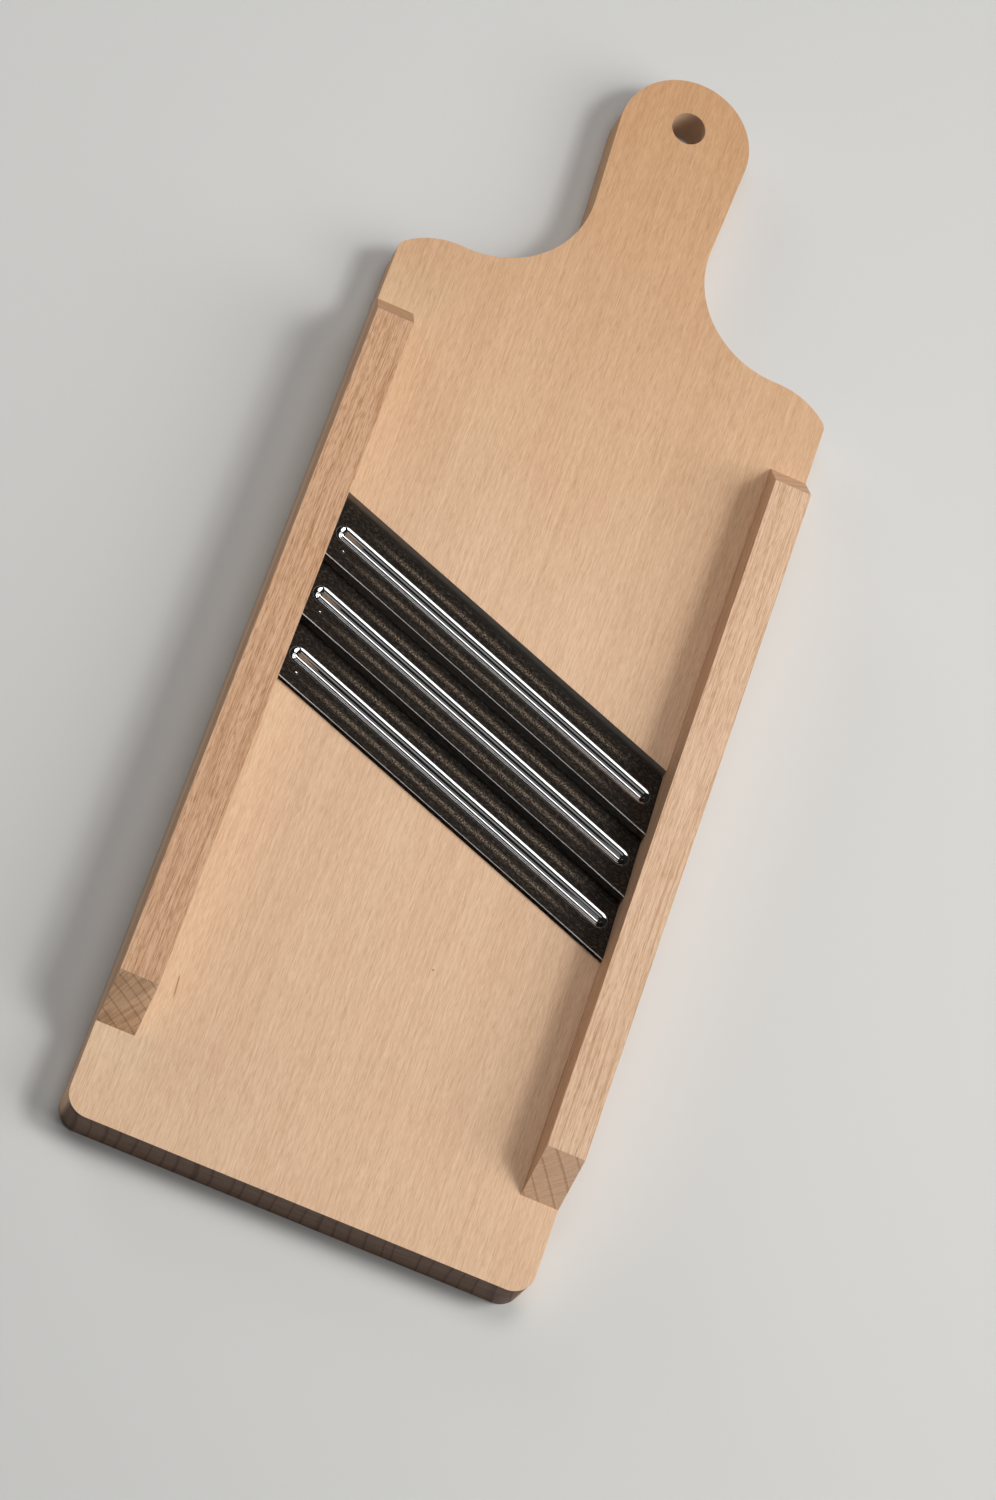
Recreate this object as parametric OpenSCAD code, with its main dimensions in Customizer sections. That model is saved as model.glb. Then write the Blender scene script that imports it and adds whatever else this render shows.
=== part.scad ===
// Cabbage cutter: a beech board with a paddle handle, two guide rails and
// three slanting beaded steel blades set one behind the other in an opening.
// Lengths run along Y from the bottom end to the handle, the face is up.

/* [Board] */
// Overall length, from the bottom end to the tip of the handle
board_l = 450; // [430:1:520]
// Width across the board and its flush rails
board_w = 164; // [150:1:190]
// Thickness of the plank
board_t = 18; // [14:0.5:24]
// Radius of the two bottom corners
corner_r = 8; // [2:0.5:16]

/* [Handle] */
// Length from the end of the straight sides to the tip of the handle
handle_l = 109; // [100:1:130]
// Height of the narrowest part of the neck above the straight sides
neck_rise = 45; // [40:1:55]
// Width at the narrowest part of the neck
neck_w = 45; // [36:0.5:54]
// Radius of the handle's round end
head_r = 24.4; // [20:0.1:28]
// Radius of the rounded shoulders
shoulder_r = 28.5; // [24:0.5:34]
// Radius of the hollows between the shoulders and the neck
hollow_r = 36.5; // [32:0.5:42]
// Radius that eases the corner between a straight side and its shoulder
side_ease_r = 4; // [1:0.5:6]
// Diameter of the hanging hole
hole_d = 12.5; // [8:0.5:18]
// Distance from the tip of the handle to the middle of the hanging hole
hole_inset = 19; // [15:0.5:24]

/* [Rails] */
// Width of a rail
rail_w = 13.5; // [11:0.5:20]
// Height of a rail above the board's face
rail_h = 18; // [10:0.5:26]
// How far the slanted cut at a rail's end runs along the rail
rail_end_run = 13; // [0:0.5:25]
// Distance from the board's bottom end to the rails
rail_foot_inset = 32; // [15:1:50]
// Distance from the end of the straight sides down to the rails
rail_head_inset = 24; // [10:1:35]

/* [Blades] */
// Angle of the blades to the cross direction, left ends nearer the handle
blade_angle = 20.3; // [0:0.1:25]
// Width of a blade at its ends
blade_w = 23.6; // [20:0.2:30]
// Thickness of the blade steel
blade_t = 1; // [0.8:0.1:1.5]
// Tilt of a blade, its rear edge sunk in the board
blade_tilt = 12.4; // [8:0.1:16]
// Distance from blade to blade, square to the blades
blade_pitch = 22.7; // [19:0.1:30]
// Height of the cutting edges above the board's face
edge_rise = 2.2; // [0.8:0.1:3]
// Distance from the board's bottom end to the middle blade's centre line
blades_y = 180.8; // [160:0.1:200]
// How far each end of a blade reaches under its rail
blade_reach = 8; // [4:0.5:9]
// Width of the bevel ground under the cutting edge
grind_w = 2.5; // [1:0.1:4]
// Steel left at the cutting edge
grind_land = 0.15; // [0.1:0.05:0.3]
// How far the rear edge is drawn in where the bead was pressed
rear_draw = 0.4; // [0.2:0.1:2]
// Length over which the rear edge is drawn in, from each rail
draw_run = 28; // [10:1:40]

/* [Bead] */
// Width of the pressed bead at the blade's face
bead_w = 5.4; // [4.6:0.2:9]
// Depth of the bead below the blade's face
bead_h = 2.1; // [1.4:0.1:2.2]
// Distance from a rail's inner face to the end of a bead
bead_gap = 3; // [1:0.5:8]

/* [Opening] */
// Horizontal gap from the lowest cutting edge to the opening's lower wall
throat_gap = 0.1; // [0:0.1:2]
// Horizontal gap from the top blade's rear edge to the opening's upper wall
rear_gap = 1.4; // [0.2:0.1:3]

/* [Rail screws] */
// Shank diameter of a wood screw
screw_d = 4; // [3:0.5:5]
// Head diameter of a wood screw
screw_head_d = 7.6; // [6:0.2:9]
// Length of a wood screw, head included
screw_l = 30; // [24:1:34]
// Depth of a screw head below the underside
screw_sunk = 0.4; // [0.2:0.1:1]
// Width of the driver slot in a screw head
screw_slot_w = 1.1; // [0.8:0.1:1.6]
// Depth of the driver slot
screw_slot_h = 1.2; // [0.8:0.1:1.5]
// Distance from a rail's ends to its first and last screw
screw_end_inset = 26; // [18:1:40]
// Distance from the blades to the screws beside them
screw_blade_gap = 12; // [8:1:18]

/* [Fits] */
// Clearance of a blade in its kerf
kerf_gap = 0.1; // [0.05:0.05:0.3]
// Clearance of a screw's shank in the rail, on the radius
pilot_gap = 0.05; // [0.02:0.01:0.1]
// Clearance of a screw's shank in the board, on the radius
shank_gap = 0.3; // [0.2:0.1:0.6]

/* [Hidden] */
$fn = 96;
eps = 0.01;
beyond = 600;

// Outline of the board, on the right of its centre line
half_w = board_w / 2;
sides_y = board_l - handle_l;
head_c = [0, board_l - head_r];
hollow_c = [neck_w / 2 + hollow_r, sides_y + neck_rise];
side_end = [half_w, sides_y];
// The shoulder's round touches the hollow and passes the end of the side
shoulder_c = meet(side_end, shoulder_r, hollow_c, shoulder_r + hollow_r);
shoulder_top = shoulder_c + shoulder_r * unit(hollow_c - shoulder_c);
ease_c = [half_w - side_ease_r,
          shoulder_c.y + sqrt(pow(shoulder_r - side_ease_r, 2)
                              - pow(half_w - side_ease_r - shoulder_c.x, 2))];
ease_dir = unit(ease_c - shoulder_c);
// The neck's side is the straight line that touches hollow and head
neck_turn = atan2(hollow_c.y - head_c.y, hollow_c.x - head_c.x)
            + acos((hollow_r + head_r) / norm(hollow_c - head_c));
neck_dir = [cos(neck_turn), sin(neck_turn)];
neck_low = hollow_c - hollow_r * neck_dir;
neck_high = head_c + head_r * neck_dir;
hole_y = board_l - hole_inset;

// Rails
rail_in = half_w - rail_w;
rail_y0 = rail_foot_inset;
rail_y1 = sides_y - rail_head_inset;

// Blades
blade_step_y = blade_pitch / cos(blade_angle);
blade_run = blade_w * cos(blade_tilt);
blade_z = board_t + edge_rise - blade_w / 2 * sin(blade_tilt);
blade_x = rail_in + blade_reach;
opening_top = blade_pitch + blade_run / 2 + rear_gap;
opening_bottom = -blade_pitch - blade_run / 2 - throat_gap;
draw_steps = 8;

// Bead: an arc below the face, pressed out of the same thickness of steel
bead_r = (pow(bead_w / 2, 2) + pow(bead_h, 2)) / (2 * bead_h);
bead_lift = bead_r - bead_h;
bead_half = (rail_in - bead_gap) / cos(blade_angle) - bead_w / 2;

// Screws: two below and two above the blades on each rail
screw_x = half_w - rail_w / 2;
zone_half = (blade_pitch + blade_run / 2) / cos(blade_angle) + rail_w / 2 * tan(blade_angle);
countersink_h = (screw_head_d - screw_d) / 2;

function unit(v) = v / norm(v);

// Lower left meeting point of the circles round a and b, of radius ra and rb
function meet(a, ra, b, rb) =
    let (d = norm(b - a),
         along = (ra * ra - rb * rb + d * d) / (2 * d),
         out = sqrt(ra * ra - along * along),
         dir = (b - a) / d)
    a + along * dir + out * [-dir.y, dir.x];

// Place along a blade where it meets the plane at distance x from the middle
function along_at(x, v) = (x - v * cos(blade_tilt) * sin(blade_angle)) / cos(blade_angle);

// Smooth step from 0 to 1
function ease(s) = (1 - cos(180 * s)) / 2;

// Centre line of blade i, -1 lowest to 1 highest, where it crosses the middle
function blade_y(i) = blades_y + i * blade_step_y;

// Screw places along a rail, for the side sx
function screw_ys(sx) =
    let (mid = blades_y - sx * screw_x * tan(blade_angle))
    [rail_y0 + screw_end_inset, mid - zone_half - screw_blade_gap,
     mid + zone_half + screw_blade_gap, rail_y1 - screw_end_inset];

// Puts the origin under the middle of the whole object
module placed() {
    translate([0, -board_l / 2, 0]) children();
}

// Puts a blade's own frame in place: X along it, Y to its rear, Z off its top
module at_blade(i) {
    translate([0, blade_y(i), blade_z]) rotate([0, 0, -blade_angle])
        rotate([-blade_tilt, 0, 0]) children();
}

// One half of the board's outline, from the centre line out
module half_outline() {
    square([half_w - corner_r, ease_c.y]);
    translate([0, corner_r]) square([half_w, ease_c.y - corner_r]);
    translate([half_w - corner_r, corner_r]) circle(corner_r);
    translate(ease_c) circle(side_ease_r);
    intersection() {
        translate(shoulder_c) circle(shoulder_r);
        polygon([shoulder_c, shoulder_c + 2 * shoulder_r * ease_dir,
                 shoulder_c + 2 * shoulder_r * unit(ease_dir + [0, 1]),
                 shoulder_c + 2 * shoulder_r * unit(shoulder_top - shoulder_c)]);
    }
    difference() {
        polygon([[0, shoulder_c.y], shoulder_c, shoulder_top, hollow_c, neck_low,
                 [0, neck_low.y]]);
        translate(hollow_c) circle(hollow_r);
    }
    polygon([[0, neck_low.y - eps], neck_low, neck_high, [0, neck_high.y]]);
    intersection() {
        translate(head_c) circle(head_r);
        translate([0, neck_high.y - eps]) square([2 * head_r, 2 * head_r]);
    }
}

// The opening in plan: its ends flush with the rails, its long walls beside the blades
module opening_plan() {
    intersection() {
        translate([-rail_in, 0]) square([2 * rail_in, board_l]);
        translate([0, blades_y]) rotate(-blade_angle)
            translate([-beyond / 2, opening_bottom])
                square([beyond, opening_top - opening_bottom]);
    }
}

// Slanting saw kerf that takes the ends of blade i
module kerf(i) {
    intersection() {
        at_blade(i) translate([-beyond / 2, -blade_w / 2 - kerf_gap, -blade_t])
            cube([beyond, blade_w + 2 * kerf_gap, blade_t + kerf_gap]);
        translate([-blade_x - kerf_gap, 0, 0])
            cube([2 * (blade_x + kerf_gap), board_l, 2 * (board_t + rail_h)]);
    }
}

module board() {
    color("burlywood") placed() difference() {
        linear_extrude(board_t) {
            half_outline();
            mirror([1, 0]) half_outline();
        }
        translate([0, hole_y, -eps]) cylinder(d = hole_d, h = board_t + 2 * eps);
        translate([0, 0, -eps]) linear_extrude(board_t + 2 * eps) opening_plan();
        for (i = [-1:1]) kerf(i);
        for (sx = [-1, 1], y = screw_ys(sx)) translate([sx * screw_x, y, 0]) screw_hole();
    }
}

// Clearance hole and countersink for one screw, from the underside
module screw_hole() {
    translate([0, 0, -eps]) cylinder(d = screw_d + 2 * shank_gap, h = board_t + 2 * eps);
    translate([0, 0, -eps]) cylinder(d = screw_head_d + 2 * shank_gap, h = screw_sunk + eps);
    translate([0, 0, screw_sunk])
        cylinder(d1 = screw_head_d + 2 * shank_gap, d2 = screw_d + 2 * shank_gap, h = countersink_h);
}

// Rail on the side sx, notched over the raised front corners of the blades
module rail(sx) {
    color("burlywood") placed() difference() {
        translate([sx * screw_x - rail_w / 2, 0, board_t]) rotate([90, 0, 90])
            linear_extrude(rail_w)
                polygon([[rail_y0, 0], [rail_y1, 0],
                         [rail_y1 - rail_end_run, rail_h], [rail_y0 + rail_end_run, rail_h]]);
        for (i = [-1:1]) kerf(i);
        for (y = screw_ys(sx)) translate([sx * screw_x, y, board_t - eps])
            cylinder(d = screw_d + 2 * pilot_gap, h = screw_sunk + screw_l - board_t + pilot_gap + eps);
    }
}

// Plan of a blade, with its ends cut to follow the rails
module blade_plan() {
    front = -blade_w / 2;
    rear = blade_w / 2;
    edge = [for (k = [0:draw_steps]) k / draw_steps];
    polygon(concat(
        [[along_at(-blade_x, front), front], [along_at(blade_x, front), front],
         [along_at(blade_x, rear), rear]],
        [for (s = edge) [along_at(rail_in, rear) - s * draw_run, rear - rear_draw * ease(s)]],
        [for (s = edge) [along_at(-rail_in, rear) + (1 - s) * draw_run, rear - rear_draw * ease(1 - s)]],
        [[along_at(-blade_x, rear), rear]]));
}

// Round-ended bar that forms the hollow of a bead, or its back
module bead_bar(r) {
    translate([0, 0, bead_lift]) {
        rotate([0, 90, 0]) cylinder(r = r, h = 2 * bead_half, center = true);
        for (end = [-1, 1]) translate([end * bead_half, 0, 0]) sphere(r);
    }
}

// Blade i: a flat strip with a bead pressed down in it, ground under its front edge
module blade(i) {
    color("silver") placed() at_blade(i) difference() {
        union() {
            translate([0, 0, -blade_t]) linear_extrude(blade_t) blade_plan();
            intersection() {
                bead_bar(bead_r + blade_t);
                translate([-beyond / 2, -bead_w, -blade_t / 2 - 2 * bead_h])
                    cube([beyond, 2 * bead_w, 2 * bead_h]);
            }
        }
        bead_bar(bead_r);
        translate([0, -blade_w / 2, -grind_land])
            rotate([-atan((blade_t - grind_land) / grind_w), 0, 0])
                translate([-beyond / 2, -grind_w, -blade_w]) cube([beyond, 3 * grind_w, blade_w]);
    }
}

// The four countersunk screws of the rail on the side sx
module rail_screws(sx) {
    color("gray") placed()
        for (y = screw_ys(sx)) translate([sx * screw_x, y, screw_sunk]) difference() {
            rotate_extrude()
                polygon([[0, 0], [screw_head_d / 2, 0], [screw_d / 2, countersink_h],
                         [screw_d / 2, screw_l - screw_d], [0, screw_l]]);
            translate([-screw_head_d, -screw_slot_w / 2, -eps])
                cube([2 * screw_head_d, screw_slot_w, screw_slot_h + eps]);
        }
}

module left_rail() { rail(-1); }
module right_rail() { rail(1); }
module top_blade() { blade(1); }
module middle_blade() { blade(0); }
module bottom_blade() { blade(-1); }
module left_rail_screws() { rail_screws(-1); }
module right_rail_screws() { rail_screws(1); }

board();
left_rail();
right_rail();
top_blade();
middle_blade();
bottom_blade();
left_rail_screws();
right_rail_screws();
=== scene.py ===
# Cabbage cutter: a beech board with a paddle handle, two guide rails and three
# slanting steel blades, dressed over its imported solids. Lengths are in mm where a
# name ends in _mm, squares of lengths in square mm where it ends in _mm2, and
# lengths are in metres otherwise.
import math

import bpy
import numpy as np
from mathutils import Euler, Matrix, Vector


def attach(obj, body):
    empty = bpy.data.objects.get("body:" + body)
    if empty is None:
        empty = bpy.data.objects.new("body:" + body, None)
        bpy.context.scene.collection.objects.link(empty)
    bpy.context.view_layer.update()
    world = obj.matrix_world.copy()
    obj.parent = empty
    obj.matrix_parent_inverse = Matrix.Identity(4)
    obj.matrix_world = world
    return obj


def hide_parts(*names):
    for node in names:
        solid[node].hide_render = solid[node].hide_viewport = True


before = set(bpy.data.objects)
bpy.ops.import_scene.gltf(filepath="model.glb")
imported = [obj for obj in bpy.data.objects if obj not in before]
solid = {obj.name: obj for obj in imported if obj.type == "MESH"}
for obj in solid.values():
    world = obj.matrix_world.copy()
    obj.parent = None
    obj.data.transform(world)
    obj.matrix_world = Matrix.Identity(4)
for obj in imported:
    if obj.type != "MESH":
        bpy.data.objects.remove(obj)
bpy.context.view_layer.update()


# Board: one plank of steamed beech, sawn near the quarter, with its paddle handle
# cut from the same piece. It is planed, band sawn to outline, bored for hanging,
# sanded, and its arrises are broken by hand.
def sums(tree, operation, a, b=None, c=None, clamp=False):
    """Math node on sockets or plain numbers, returns its output."""
    made = tree.nodes.new("ShaderNodeMath")
    made.operation = operation
    made.use_clamp = clamp
    for place, value in enumerate((a, b, c)):
        if value is None:
            continue
        if isinstance(value, bpy.types.NodeSocket):
            tree.links.new(value, made.inputs[place])
        else:
            made.inputs[place].default_value = value
    return made.outputs[0]


def ramp(tree, value, low, high):
    """Smooth step of a socket from 0 at low to 1 at high."""
    made = tree.nodes.new("ShaderNodeMapRange")
    made.interpolation_type = "SMOOTHSTEP"
    tree.links.new(value, made.inputs["Value"])
    made.inputs["From Min"].default_value = low
    made.inputs["From Max"].default_value = high
    return made.outputs["Result"]


def drop(tree, value, low, high):
    """Smooth step of a socket from 1 at low to 0 at high."""
    return sums(tree, "SUBTRACT", 1.0, ramp(tree, value, low, high))


def between(tree, value, rise, fall):
    """Smooth step of a socket up over one span and down again over a later one."""
    return sums(tree, "SUBTRACT", ramp(tree, value, *rise), ramp(tree, value, *fall))


def overlap(tree, *masks):
    """Product of masks, 1 only where all of them are."""
    made = masks[0]
    for mask in masks[1:]:
        made = sums(tree, "MULTIPLY", made, mask)
    return made


def tint(tree, amount, under, over, blend="MIX"):
    """Colour blend of two sockets or colours by an amount socket or number."""
    made = tree.nodes.new("ShaderNodeMix")
    made.data_type = "RGBA"
    made.blend_type = blend
    for key, value in (("Factor", amount), ("A", under), ("B", over)):
        socket = [s for s in made.inputs if s.name == key and s.enabled][0]
        if isinstance(value, bpy.types.NodeSocket):
            tree.links.new(value, socket)
        elif key == "Factor":
            socket.default_value = value
        else:
            socket.default_value = (*value, 1.0)
    return [s for s in made.outputs if s.enabled][0]


def stain(tree, amount, strength, under, by):
    """Multiplies a colour by one factor a channel, drawn from or to 1 by a strength."""
    return tint(tree, amount, under, [1 + (b - 1) * strength for b in by], "MULTIPLY")


def stretched(tree, place, scales, detail=2.0, rough=0.5):
    """Noise on three coordinate sockets or numbers, each times its scale per mm."""
    join = tree.nodes.new("ShaderNodeCombineXYZ")
    for socket, value, scale in zip(join.inputs, place, scales):
        if isinstance(value, bpy.types.NodeSocket):
            tree.links.new(sums(tree, "MULTIPLY", value, scale), socket)
        else:
            socket.default_value = value * scale
    made = tree.nodes.new("ShaderNodeTexNoise")
    made.inputs["Scale"].default_value = 1.0
    made.inputs["Detail"].default_value = detail
    made.inputs["Roughness"].default_value = rough
    tree.links.new(join.outputs[0], made.inputs["Vector"])
    return made.outputs["Fac"]


def in_mm(tree, source):
    """Splits a coordinate in metres into X, Y and Z in mm."""
    scale = tree.nodes.new("ShaderNodeVectorMath")
    scale.operation = "SCALE"
    scale.inputs["Scale"].default_value = 1000.0
    tree.links.new(source, scale.inputs[0])
    split = tree.nodes.new("ShaderNodeSeparateXYZ")
    tree.links.new(scale.outputs[0], split.inputs[0])
    return list(split.outputs)


def off_squared(tree, x, y, at_mm):
    """Square of the distance from a point on the face, in square mm."""
    off_x = sums(tree, "SUBTRACT", x, at_mm[0])
    off_y = sums(tree, "SUBTRACT", y, at_mm[1])
    return sums(tree, "ADD", sums(tree, "MULTIPLY", off_x, off_x), sums(tree, "MULTIPLY", off_y, off_y))


def beech(name, pith_mm, reach_mm, ring_mm, colour, streak, fleck, end_colour, ring_dark, ray_dark):
    """Solid beech: year rings round a pith along Y, fibres, flecks and end grain.

    pith_mm is the pith's X and Z, and reach_mm the wood's distance from it. The values streak,
    fleck, ring_dark and ray_dark say how strongly each of these shows. Returns the material's
    tree, its place in mm, its facing and its colour.
    """
    material = bpy.data.materials.new(name)
    material.use_nodes = True
    tree = material.node_tree
    shader = tree.nodes["Principled BSDF"]
    source = tree.nodes.new("ShaderNodeTexCoord")
    place = in_mm(tree, source.outputs["Object"])
    x, y, z = place
    facing = tree.nodes.new("ShaderNodeSeparateXYZ")
    tree.links.new(source.outputs["Normal"], facing.inputs[0])

    # Year rings sway a little about their circles, and no two are equally wide.
    sway_mm = 8.0
    sway = stretched(tree, place, (0.02, 0.003, 0.02), 1.0)
    from_x = sums(tree, "ADD", sums(tree, "SUBTRACT", x, pith_mm[0]),
                  sums(tree, "MULTIPLY_ADD", sway, sway_mm, -sway_mm / 2))
    from_z = sums(tree, "SUBTRACT", z, pith_mm[1])
    radius = sums(tree, "SQRT", sums(tree, "ADD", sums(tree, "MULTIPLY", from_x, from_x),
                                     sums(tree, "MULTIPLY", from_z, from_z)))
    around = sums(tree, "MULTIPLY", sums(tree, "ARCTAN2", from_z, from_x), reach_mm)
    uneven = stretched(tree, (radius, y, 0.0), (0.15, 0.001, 1.0), 1.0)
    year = sums(tree, "FRACT", sums(tree, "MULTIPLY_ADD", radius, 1 / ring_mm,
                                    sums(tree, "MULTIPLY", uneven, 1.6)))
    late = between(tree, year, (0.4, 0.94), (0.95, 1.0))
    ring_line = between(tree, year, (0.72, 0.93), (0.95, 1.0))

    # Along the grain: broad bands, fibres, pale lines, grit, clouds, a blush and flecks.
    band = stretched(tree, place, (0.12, 0.004, 0.12), 2.0)
    fibre = stretched(tree, place, (1.8, 0.03, 1.8), 2.0, 0.6)
    pale_line = stretched(tree, place, (1.4, 0.006, 1.4), 1.0, 0.5)
    dash = stretched(tree, place, (3.3, 0.22, 3.3), 1.0, 0.5)
    grit = stretched(tree, place, (3.4, 0.22, 3.4), 2.0, 0.7)
    cloud = stretched(tree, place, (0.03, 0.012, 0.03), 2.0)
    blush = stretched(tree, place, (0.05, 0.03, 0.05), 1.0)
    flecks = ramp(tree, dash, 0.53, 0.64)
    wood = stain(tree, late, 0.3 * streak, colour, (0.88, 0.84, 0.79))
    wood = stain(tree, ramp(tree, band, 0.4, 0.65), 0.3, wood, (0.9, 0.86, 0.82))
    wood = stain(tree, ramp(tree, fibre, 0.42, 0.68), streak, wood, (0.86, 0.81, 0.76))
    wood = stain(tree, ramp(tree, pale_line, 0.55, 0.7), 0.6, wood, (1.08, 1.1, 1.13))
    wood = stain(tree, ramp(tree, grit, 0.35, 0.65), 1.0, wood, (0.9, 0.865, 0.83))
    wood = stain(tree, ramp(tree, cloud, 0.35, 0.75), 0.3, wood, (0.97, 0.93, 0.88))
    wood = stain(tree, ramp(tree, blush, 0.52, 0.75), 0.3, wood, (0.99, 0.92, 0.94))
    wood = stain(tree, flecks, fleck, wood, (0.64, 0.54, 0.45))

    # Across the grain: rays from the pith, ring lines and pores.
    rays = stretched(tree, (around, y, radius), (1.3, 0.01, 0.1), 1.0)
    pores = stretched(tree, place, (2.8, 0.4, 2.8), 1.0)
    cut = stain(tree, ramp(tree, rays, 0.42, 0.6), ray_dark, end_colour, (0.72, 0.66, 0.62))
    cut = stain(tree, ring_line, ring_dark, cut, (0.58, 0.46, 0.37))
    cut = stain(tree, ramp(tree, pores, 0.5, 0.7), 0.35, cut, (0.62, 0.55, 0.5))
    end = ramp(tree, sums(tree, "ABSOLUTE", facing.outputs["Y"]), 0.45, 0.75)

    tree.links.new(sums(tree, "MULTIPLY_ADD", fibre, 0.2, 0.5), shader.inputs["Roughness"])
    shader.inputs["Specular IOR Level"].default_value = 0.3
    relief = tree.nodes.new("ShaderNodeBump")
    relief.inputs["Strength"].default_value = 0.3
    relief.inputs["Distance"].default_value = 0.00006
    tree.links.new(sums(tree, "MULTIPLY_ADD", flecks, -0.5, fibre), relief.inputs["Height"])
    tree.links.new(relief.outputs["Normal"], shader.inputs["Normal"])
    return tree, place, facing.outputs, tint(tree, end, wood, cut)


def dress(piece, material, arris_mm, segments=3):
    """Gives a solid its finish, and breaks its sharp arrises."""
    piece.data.materials.clear()
    piece.data.materials.append(material)
    weld = piece.modifiers.new("joined_faces", "WELD")
    weld.merge_threshold = 0.00001
    ease = piece.modifiers.new("broken_arris", "BEVEL")
    ease.width = arris_mm / 1000
    ease.segments = segments
    ease.limit_method = "ANGLE"
    ease.angle_limit = math.radians(38)


slant = math.radians(20.3)
board_arris_mm = 0.6
handle_reach_mm = 235.0
lit_strip_foot_mm = (-215.0, -195.0)
lit_strip_head_mm = (95.0, 115.0)
lit_strip_side_mm = (-68.0, -54.0)
hole_at_mm = (0.0, 206.0)
hole_rim_mm2 = (42.0, 46.0)
end_in_shade_mm = (-215.0, -210.0)
opening_from_mm = (-135.0, -130.0)
opening_to_mm = (40.0, 45.0)
scratch_at_mm = (-61.561, -171.0)
scratch_lean = 0.089
scratch_foot_mm = (-176.6, -174.0)
scratch_head_mm = (-169.0, -166.8)
scratch_side_mm = (0.1, 0.45)
speck_at_mm = (16.1, -131.8)
speck_rim_mm2 = (0.03, 0.3)

tree, place, facing, wood = beech(
    "board_beech", pith_mm=(-330.0, -15.0), reach_mm=330.0, ring_mm=5.6, colour=(0.8, 0.558, 0.375),
    streak=0.45, fleck=0.27, end_colour=(0.62, 0.42, 0.28), ring_dark=0.9, ray_dark=0.7)
x, y = place[:2]
# The wood is darker and warmer towards the handle: the warmer tone is the wood's own, and part of the
# darkening is painted shade where the light falls off.
to_handle = sums(tree, "MULTIPLY", y, 1 / handle_reach_mm, clamp=True)
wood = stain(tree, to_handle, 1.0, wood, (0.81, 0.68, 0.53))
# A paler, yellower strip along the left rail is painted light: the glow bounced off the rail's lit inner
# face.
strip = overlap(tree, between(tree, y, lit_strip_foot_mm, lit_strip_head_mm), drop(tree, x, *lit_strip_side_mm),
                ramp(tree, facing["Z"], 0.5, 0.9))
wood = stain(tree, strip, 1.0, wood, (1.0, 1.06, 1.07))
# The hanging hole's wall is painted one even brown.
in_hole = overlap(tree, drop(tree, off_squared(tree, x, y, hole_at_mm), *hole_rim_mm2),
                  drop(tree, sums(tree, "ABSOLUTE", facing["Z"]), 0.3, 0.6))
wood = tint(tree, in_hole, wood, (0.57, 0.39, 0.262))
# The bottom end is painted dark: painted shade, for the light it doesn't get from the front.
end_in_shade = overlap(tree, ramp(tree, sums(tree, "MULTIPLY", facing["Y"], -1.0), 0.45, 0.75),
                  drop(tree, y, *end_in_shade_mm))
wood = stain(tree, end_in_shade, 1.0, wood, (0.32, 0.29, 0.295))
# The opening's upper wall is painted a pale grey, paler than shaded wood: painted light on the wall.
to_front = sums(tree, "MULTIPLY_ADD", facing["X"], -math.sin(slant),
                sums(tree, "MULTIPLY", facing["Y"], -math.cos(slant)))
wall = overlap(tree, ramp(tree, to_front, 0.955, 0.985), between(tree, y, opening_from_mm, opening_to_mm))
wood = tint(tree, wall, wood, (0.6, 0.565, 0.53))
# The broken arrises are painted paler: a painted highlight along the edges.
arris = between(tree, facing["Z"], (0.15, 0.4), (0.85, 0.97))
wood = stain(tree, arris, 1.0, wood, (1.2, 1.22, 1.25))
# One scratch and one dark speck lie on the lower half of the face.
along_scratch = sums(tree, "MULTIPLY", sums(tree, "SUBTRACT", y, scratch_at_mm[1]), scratch_lean)
off_scratch = sums(tree, "ADD", sums(tree, "SUBTRACT", x, scratch_at_mm[0]), along_scratch)
scratch = overlap(tree, between(tree, y, scratch_foot_mm, scratch_head_mm),
                  drop(tree, sums(tree, "ABSOLUTE", off_scratch), *scratch_side_mm))
speck = drop(tree, off_squared(tree, x, y, speck_at_mm), *speck_rim_mm2)
blemish = overlap(tree, sums(tree, "MAXIMUM", scratch, speck), ramp(tree, facing["Z"], 0.5, 0.8))
wood = stain(tree, blemish, 0.85, wood, (0.55, 0.42, 0.32))
tree.links.new(wood, tree.nodes["Principled BSDF"].inputs["Base Color"])
dress(solid["board"], bpy.data.materials["board_beech"], board_arris_mm)


# Rails: two square beech sticks with slanted ends, glued along the board's sides
# and screwed from below. Each comes from a different place in its log, so their
# end grain runs differently.
rail_arris_mm = 0.35
rail_wood = {
    "left_rail": dict(pith_mm=(-127.3, -52.5), reach_mm=95.0, ring_mm=3.5, colour=(0.71, 0.45, 0.284),
                      streak=1.6, fleck=0.7, end_colour=(0.75, 0.483, 0.302), ring_dark=0.6, ray_dark=0.7),
    "right_rail": dict(pith_mm=(0.0, -45.0), reach_mm=104.0, ring_mm=4.5, colour=(0.8, 0.565, 0.395),
                       streak=1.5, fleck=0.45, end_colour=(0.87, 0.58, 0.388), ring_dark=0.6, ray_dark=0.3)}
for node, stick in rail_wood.items():
    tree, _, facing, wood = beech(node + "_beech", **stick)
    # The upper ends, facing away from the light, are painted browner than the lower ones: painted shade.
    shaded_upper_end = ramp(tree, facing["Y"], 0.45, 0.75)
    wood = stain(tree, shaded_upper_end, 1.0, wood, (0.84, 0.77, 0.715))
    tree.links.new(wood, tree.nodes["Principled BSDF"].inputs["Base Color"])
    dress(solid[node], bpy.data.materials[node + "_beech"], rail_arris_mm)


# Blades: three strips of polished steel, each with one long bead pressed down in it
# to stiffen it, and ground from below to a keen front edge. Their ends sit in
# slanting saw kerfs under the rails.
def span_mm(piece):
    """Lowest and highest X, Y and Z of a solid, in mm."""
    corners = np.array([corner[:] for corner in piece.bound_box]) * 1000
    return corners.min(0).round(2), corners.max(0).round(2)


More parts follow.
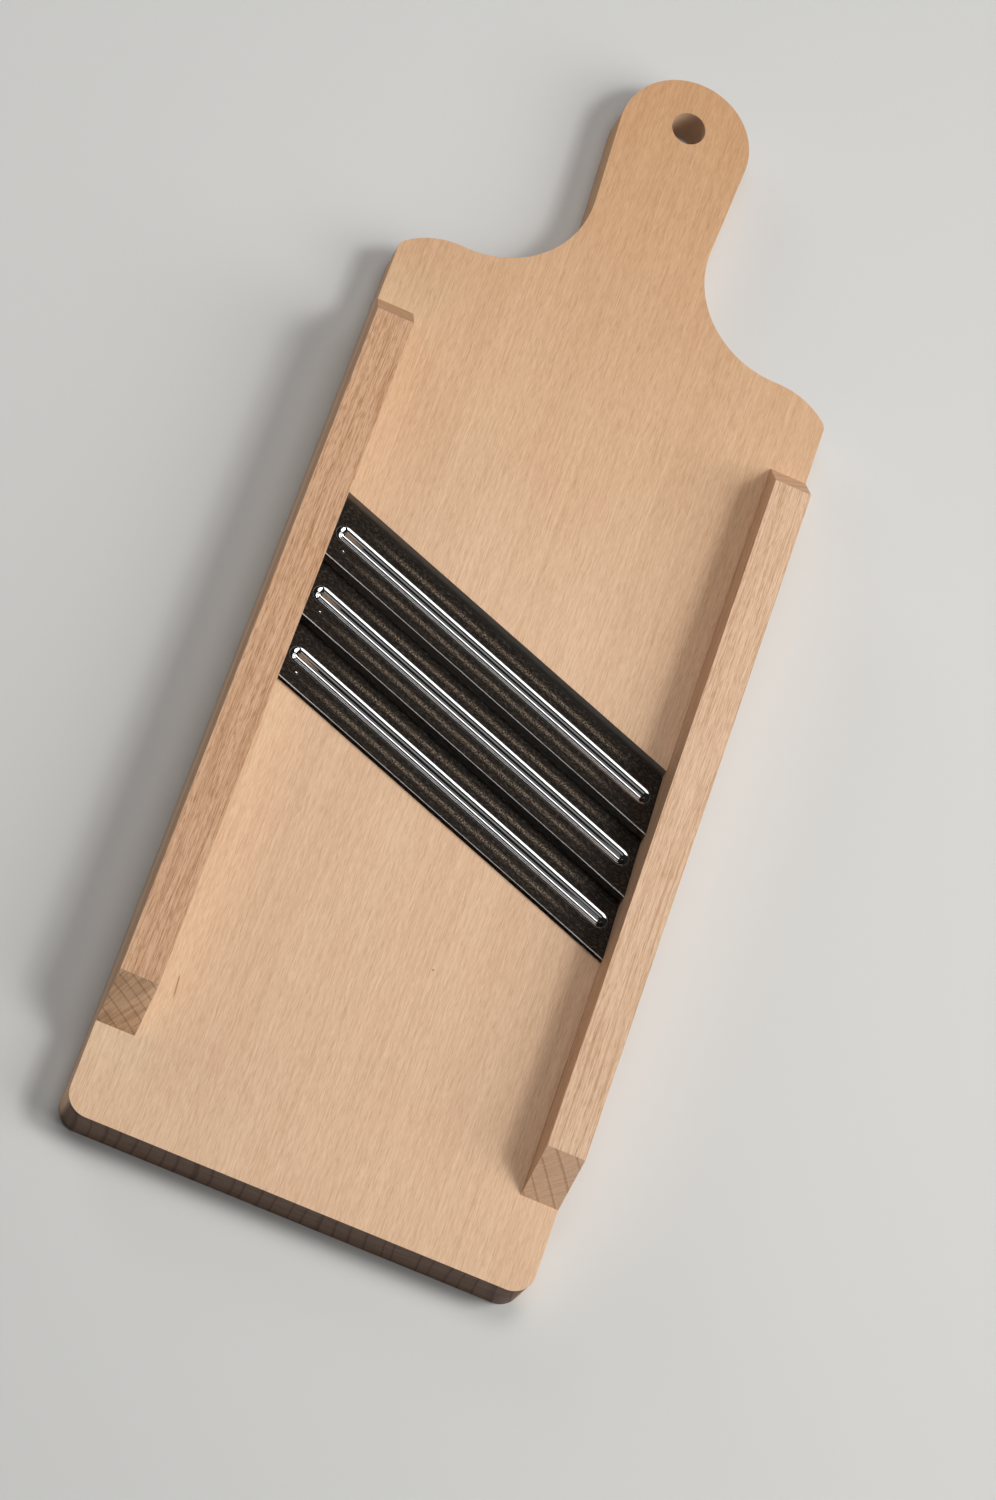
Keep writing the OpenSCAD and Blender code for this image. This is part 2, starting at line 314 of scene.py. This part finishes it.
board_low_mm, board_high_mm = span_mm(solid["board"])
rail_inner_mm = span_mm(solid["right_rail"])[0][0]
under_rail_mm = 8.0
blade_half_mm = rail_inner_mm + under_rail_mm
blade_wide_mm = 23.6
blade_thick_mm = 1.0
blade_pitch_mm = 22.7
middle_blade_mm = board_low_mm[1] + 180.8
edge_rise_mm = 2.2
lean = math.radians(12.4)
ground_wide_mm = 2.5
edge_land_mm = 0.15
edge_round_mm = 0.3
drawn_in_mm = 0.25
drawn_run_mm = 28.0
bead_half_mm = 3.88
bead_deep_mm = 2.1
bead_lip_mm = 3.0
bead_reach_mm = 67.1
dot_at_mm = (-63.5, -6.4)
dot_round_mm = 0.6
dot_deep_mm = 0.2


def pressed_strip(name, at_mm):
    """Blade strip with its bead, laid in place, that keeps its own flat places in mm."""
    steep = 2 * math.atan(bead_deep_mm / bead_half_mm)
    hollow = bead_half_mm / math.sin(steep) - bead_lip_mm
    turn = hollow * math.sin(steep)

    # Columns lie close together where the bead ends, towards the rails.
    half = np.concatenate([[8.0, 20.0, 32.0], np.linspace(40.0, 55.5, 10),
                           np.linspace(57.0, 68.4, 58), [70.0, 73.0, blade_half_mm]])
    across = np.concatenate([-half[::-1], [0.0], half])
    inward = (rail_inner_mm - np.abs(across)) / (math.cos(slant) * drawn_run_mm)
    drawn = drawn_in_mm * (1 - np.cos(np.pi * np.clip(inward, 0, 1))) / 2
    back = blade_wide_mm / 2 - drawn
    front = -back

    # Rows lie close together by the dot, across the bead and at both long edges.
    fixed = np.concatenate([[-8.4], np.linspace(-7.2, -5.6, 13), [-4.6], np.linspace(-4.1, 4.1, 69),
                            [4.6, 6.2, 8.4]])
    eased = edge_round_mm * np.array([0.0, 0.3, 1.0, 1.4])
    ground_rows = len(eased) + 1
    v = np.vstack([front[None, :] + eased[:, None], front + ground_wide_mm,
                   np.repeat(fixed[:, None], len(across), 1), back[None, :] - eased[::-1, None]])
    u = across[None, :] / math.cos(slant) - v * math.cos(lean) * math.tan(slant)

    # The bead is a round hollow with round lips, and the dot a shallow dimple.
    d = np.hypot(np.maximum(np.abs(u) - bead_reach_mm, 0), v)
    from_foot = bead_half_mm - np.minimum(d, bead_half_mm)
    in_hollow = bead_deep_mm - hollow + np.sqrt(np.maximum(hollow ** 2 - d ** 2, 0))
    on_lip = bead_lip_mm - np.sqrt(np.maximum(bead_lip_mm ** 2 - from_foot ** 2, 0))
    deep = np.where(d < turn, in_hollow, on_lip)
    off_dot = np.hypot(u - dot_at_mm[0], v - dot_at_mm[1]) / dot_round_mm
    deep = deep + dot_deep_mm * np.maximum(1 - off_dot ** 2, 0)
    top = -deep
    low = -deep - blade_thick_mm
    for row in range(ground_rows):
        low[row] = -edge_land_mm - (blade_thick_mm - edge_land_mm) * (v[row] - front) / ground_wide_mm
    for row, fall_mm in ((0, 0.8 * edge_land_mm), (1, 0.3 * edge_land_mm),
                         (-2, 0.3 * edge_round_mm), (-1, edge_round_mm)):
        top[row] = -fall_mm

    rows, columns = v.shape
    flat = np.concatenate([np.stack([u, v, side], -1).reshape(-1, 3) for side in (top, low)])
    turned = Matrix.Rotation(-slant, 3, "Z") @ Matrix.Rotation(-lean, 3, "X")
    points = flat @ np.array(turned).T + np.array(at_mm)
    under = rows * columns
    faces = []
    for r in range(rows - 1):
        for c in range(columns - 1):
            a = r * columns + c
            faces.append((a, a + 1, a + columns + 1, a + columns))
            faces.append((under + a, under + a + columns, under + a + columns + 1, under + a + 1))
    for c in range(columns - 1):
        faces.append((c, under + c, under + c + 1, c + 1))
        a = (rows - 1) * columns + c
        faces.append((a, a + 1, under + a + 1, under + a))
    for r in range(rows - 1):
        a = r * columns
        faces.append((a, a + columns, under + a + columns, under + a))
        b = a + columns - 1
        faces.append((b, under + b, under + b + columns, b + columns))
    mesh = bpy.data.meshes.new(name)
    mesh.from_pydata((points / 1000).tolist(), [], faces)
    mesh.shade_smooth()
    mesh.set_sharp_from_angle(angle=math.radians(50))
    kept = mesh.attributes.new("strip_place", "FLOAT_VECTOR", "POINT")
    kept.data.foreach_set("vector", flat.astype(np.float32).ravel())
    piece = bpy.data.objects.new(name, mesh)
    bpy.context.scene.collection.objects.link(piece)
    return piece


def polished_steel(name):
    """Rolled steel: dull dark flats with rows of rub marks, bright where it is pressed in."""
    material = bpy.data.materials.new(name)
    material.use_nodes = True
    tree = material.node_tree
    shader = tree.nodes["Principled BSDF"]
    place = tree.nodes.new("ShaderNodeAttribute")
    place.attribute_name = "strip_place"
    split = tree.nodes.new("ShaderNodeSeparateXYZ")
    tree.links.new(place.outputs["Vector"], split.inputs[0])
    u, v, w = split.outputs
    aside = sums(tree, "ABSOLUTE", v)
    deep = sums(tree, "MULTIPLY", w, -1.0)
    grain = stretched(tree, (u, v, 0.0), (0.25, 4.0, 1.0), 3.0, 0.65)
    speck = stretched(tree, (u, v, 0.0), (2.2, 1.3, 1.0), 2.0, 0.7)
    mottle = stretched(tree, (u, v, 5.0), (0.7, 1.0, 1.0), 3.0, 0.75)
    patch = stretched(tree, (u, v, 3.0), (0.1, 0.25, 1.0), 2.0)

    # The bead is pressed in from above, and its back isn't polished.
    at_back = overlap(tree, ramp(tree, aside, 3.9, 4.1), ramp(tree, deep, 0.5, 0.6))
    pressed = sums(tree, "SUBTRACT", ramp(tree, deep, 0.02, 0.07), at_back)
    # Rub marks run in a wandering row on each side of the bead, and a few are strewn.
    row_mm = 6.55
    wander_mm = 0.9
    wander = stretched(tree, (u, 0.0, 7.0), (0.06, 1.0, 1.0), 1.0)
    row = sums(tree, "MULTIPLY_ADD", wander, wander_mm, row_mm)
    off_row = sums(tree, "ABSOLUTE", sums(tree, "SUBTRACT", aside, row))
    rubbed = overlap(tree, between(tree, u, (-68.0, -42.0), (46.0, 62.0)), drop(tree, off_row, 0.1, 1.6),
                     ramp(tree, speck, 0.44, 0.62))
    strewn = overlap(tree, ramp(tree, speck, 0.56, 0.75), ramp(tree, patch, 0.35, 0.6))
    marks = sums(tree, "MAXIMUM", rubbed, sums(tree, "MULTIPLY", strewn, 0.45))
    marks = sums(tree, "SUBTRACT", marks, pressed, clamp=True)
    # The front edge is bright from the stone.
    front_mm = -blade_wide_mm / 2
    keen = drop(tree, v, front_mm + edge_round_mm, front_mm + 2 * edge_round_mm)

    steel = tint(tree, ramp(tree, grain, 0.3, 0.7), (0.018, 0.015, 0.013), (0.038, 0.032, 0.028))
    steel = tint(tree, ramp(tree, mottle, 0.48, 0.7), steel, (0.12, 0.094, 0.073))
    steel = tint(tree, marks, steel, (0.3, 0.222, 0.16))
    steel = tint(tree, keen, steel, (0.42, 0.41, 0.4))
    steel = tint(tree, pressed, steel, (0.55, 0.545, 0.54))
    tree.links.new(steel, shader.inputs["Base Color"])
    shader.inputs["Specular IOR Level"].default_value = 0.2
    metal = sums(tree, "MULTIPLY_ADD", marks, -0.4, 0.55)
    tree.links.new(sums(tree, "MAXIMUM", metal, pressed), shader.inputs["Metallic"])
    dull = sums(tree, "MULTIPLY_ADD", grain, 0.1, sums(tree, "MULTIPLY_ADD", marks, 0.2, 0.28))
    dull = sums(tree, "SUBTRACT", dull, sums(tree, "MULTIPLY", pressed, 0.33))
    tree.links.new(sums(tree, "MAXIMUM", dull, 0.012), shader.inputs["Roughness"])
    return material


blade_steel = polished_steel("blade_steel")
middle_z_mm = board_high_mm[2] + edge_rise_mm - blade_wide_mm / 2 * math.sin(lean)
for order, node in ((1, "top_blade"), (0, "middle_blade"), (-1, "bottom_blade")):
    centre_mm = middle_blade_mm + order * blade_pitch_mm / math.cos(slant)
    strip = pressed_strip(node + "_strip", (0.0, centre_mm, middle_z_mm))
    strip.data.materials.append(blade_steel)
    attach(strip, "root")
    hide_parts(node)


# Rail screws: slotted countersunk wood screws, zinc plated, driven from the
# underside through the board into the rails, their heads just below the surface.
def plated_steel(name):
    """Zinc plate: pale grey and cloudy."""
    material = bpy.data.materials.new(name)
    material.use_nodes = True
    tree = material.node_tree
    shader = tree.nodes["Principled BSDF"]
    shader.inputs["Metallic"].default_value = 1.0
    place = tree.nodes.new("ShaderNodeTexCoord")
    cloud = stretched(tree, in_mm(tree, place.outputs["Object"]), (0.8, 0.8, 1.0), 3.0, 0.6)
    zinc = tint(tree, ramp(tree, cloud, 0.3, 0.7), (0.56, 0.57, 0.58), (0.7, 0.69, 0.65))
    tree.links.new(zinc, shader.inputs["Base Color"])
    tree.links.new(sums(tree, "MULTIPLY_ADD", cloud, 0.3, 0.2), shader.inputs["Roughness"])
    return material


screw_arris_mm = 0.12
screw_zinc = plated_steel("screw_zinc")
for node in ("left_rail_screws", "right_rail_screws"):
    dress(solid[node], screw_zinc, screw_arris_mm, segments=2)


# Table: a plain pale top that the cutter lies on, matt and much wider than the
# view, a hair below the board so that their faces don't meet.
table_wide = 8.0
table_below = 0.0003
bpy.ops.mesh.primitive_plane_add(size=table_wide, location=(0, 0, -table_below))
table = bpy.context.object
table.name = "table_top"
top_finish = bpy.data.materials.new("pale_table")
top_finish.use_nodes = True
top_shader = top_finish.node_tree.nodes["Principled BSDF"]
top_shader.inputs["Base Color"].default_value = (0.66, 0.66, 0.65, 1)
top_shader.inputs["Roughness"].default_value = 0.8
table.data.materials.append(top_finish)


# Light: a small box high on the right that gives the rails their shadow, pale
# screens on the right, on the left and in front, a soft fill above, two cards
# that the bright beads mirror, and a dim room.
def soft_box(name, place, aim, wide, tall, glow, colour=(1, 1, 1), mirrored=True):
    """Area lamp of an even glow at a place, turned to its aim."""
    lamp = bpy.data.lights.new(name, "AREA")
    lamp.shape = "RECTANGLE"
    lamp.size = wide
    lamp.size_y = tall
    lamp.energy = 4 * wide * tall * glow
    lamp.color = colour
    box = bpy.data.objects.new(name, lamp)
    box.location = place
    box.visible_camera = False
    box.visible_glossy = mirrored
    away = (Vector(place) - Vector(aim)).normalized()
    up = Vector((0, 0, 1)) if abs(away.z) < 0.98 else Vector((0, 1, 0))
    side = up.cross(away).normalized()
    rise = away.cross(side)
    box.rotation_euler = Matrix((side, rise, away)).transposed().to_euler()
    bpy.context.scene.collection.objects.link(box)


cutter_at = (0, -0.04, 0)
warm = (1.0, 0.99, 0.97)
soft_box("key_box", (0.76, 0.08, 1.38), cutter_at, wide=0.4, tall=0.39, glow=13.6, colour=warm)
soft_box("right_screen", (1.7, -0.13, 1.3), cutter_at, wide=1.3, tall=1.7, glow=2.8, colour=warm)
soft_box("front_box", (0.1, -1.35, 0.72), cutter_at, wide=1.0, tall=0.4, glow=0.25)
soft_box("fill_box", (-0.1, 0.16, 1.15), cutter_at, wide=0.6, tall=0.5, glow=1.73, mirrored=False)
soft_box("left_screen", (-1.0, 0.72, 0.55), cutter_at, wide=0.6, tall=0.5, glow=2.4, mirrored=False)

blades_at = Vector((0.0, -0.044, 0.018))
across_blade = Vector((math.sin(slant), math.cos(slant), 0.0))
along_blade = Vector((math.cos(slant), -math.sin(slant), 0.0))
card_away = 1.1
for name, front_deg, rear_deg, right, left, glow in (
        ("overhead_box", -1.0, 25.0, 0.09, -0.3, 2.3), ("front_screen", -42.0, -23.0, 0.1, -0.3, 0.3)):
    turn = math.radians((front_deg + rear_deg) / 2)
    toward = Vector((0, 0, 1)) * math.cos(turn) + across_blade * math.sin(turn)
    tall = 2 * card_away * math.tan(math.radians((rear_deg - front_deg) / 2))
    card_aim = blades_at + along_blade * (right + left) / 2
    soft_box(name, card_aim + toward * card_away, card_aim, wide=right - left, tall=tall, glow=glow)

room = bpy.data.worlds.new("room")
room.use_nodes = True
room_glow = room.node_tree.nodes["Background"]
room_glow.inputs["Color"].default_value = (1, 0.98, 0.95, 1)
room_glow.inputs["Strength"].default_value = 0.02
bpy.context.scene.world = room


# Camera: above the lower left, turned so that the board slants up to the right,
# with a long lens that keeps its sides nearly parallel.
view = bpy.data.cameras.new("camera")
view.sensor_width = 36.0
view.lens = 117.905
view.clip_start = 0.05
view.clip_end = 50.0
eye = bpy.data.objects.new("camera", view)
eye.location = (-0.185476, -0.728415, 1.521642)
eye.rotation_euler = Euler([math.radians(a) for a in (20.43629, -15.06974, 18.74087)])
bpy.context.scene.collection.objects.link(eye)
bpy.context.scene.camera = eye
bpy.context.scene.view_settings.view_transform = "Standard"


# Bring the scene up to date.
bpy.context.view_layer.update()
